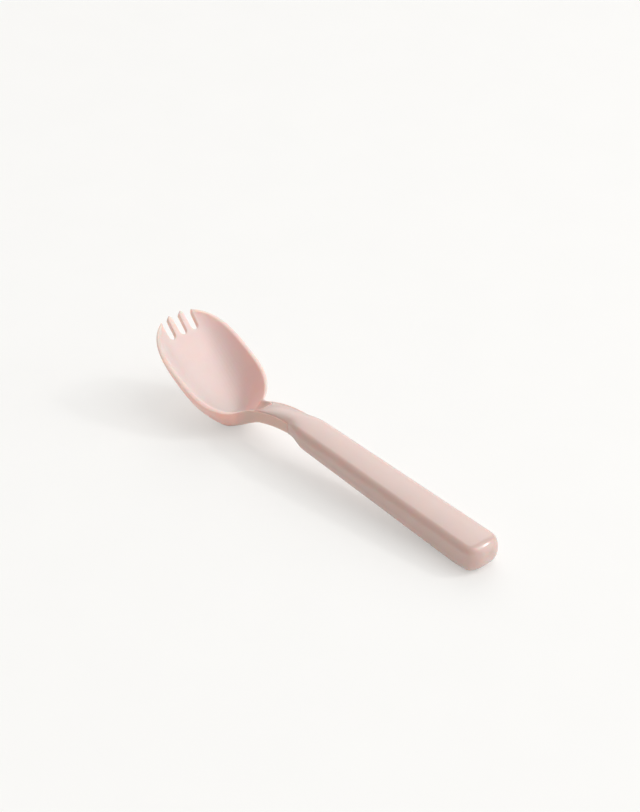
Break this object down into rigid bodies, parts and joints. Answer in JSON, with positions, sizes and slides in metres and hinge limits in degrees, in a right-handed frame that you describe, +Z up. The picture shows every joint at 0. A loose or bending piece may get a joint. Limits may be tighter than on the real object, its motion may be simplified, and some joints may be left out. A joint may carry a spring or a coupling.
{
  "type": "toddler spork",
  "caption": "Toddler spork: soft tilted bowl with short tines on a curved neck, fixed to a thick tapered hollow handle; for scooping and spearing food.",
  "frame": {"origin": "on the table under the middle of the spork's length and width, with the spork lying on its heel and its handle's rear end", "axes": "+X from the handle's rear end to the tine tips, +Z up out of the bowl's open side"},
  "size_m": [0.1436, 0.0314, 0.0291],
  "materials": {
    "soft_head": "satin silicone, slightly translucent, pale pink",
    "stiff_core": "matt, natural",
    "handle_plastic": "satin gloss, pale pink"
  },
  "bodies": {
    "root": {"bowl_head": "soft_head", "core_tang": "stiff_core", "handle_shell": "handle_plastic", "handle_cover": "handle_plastic"}
  },
  "joints": []
}
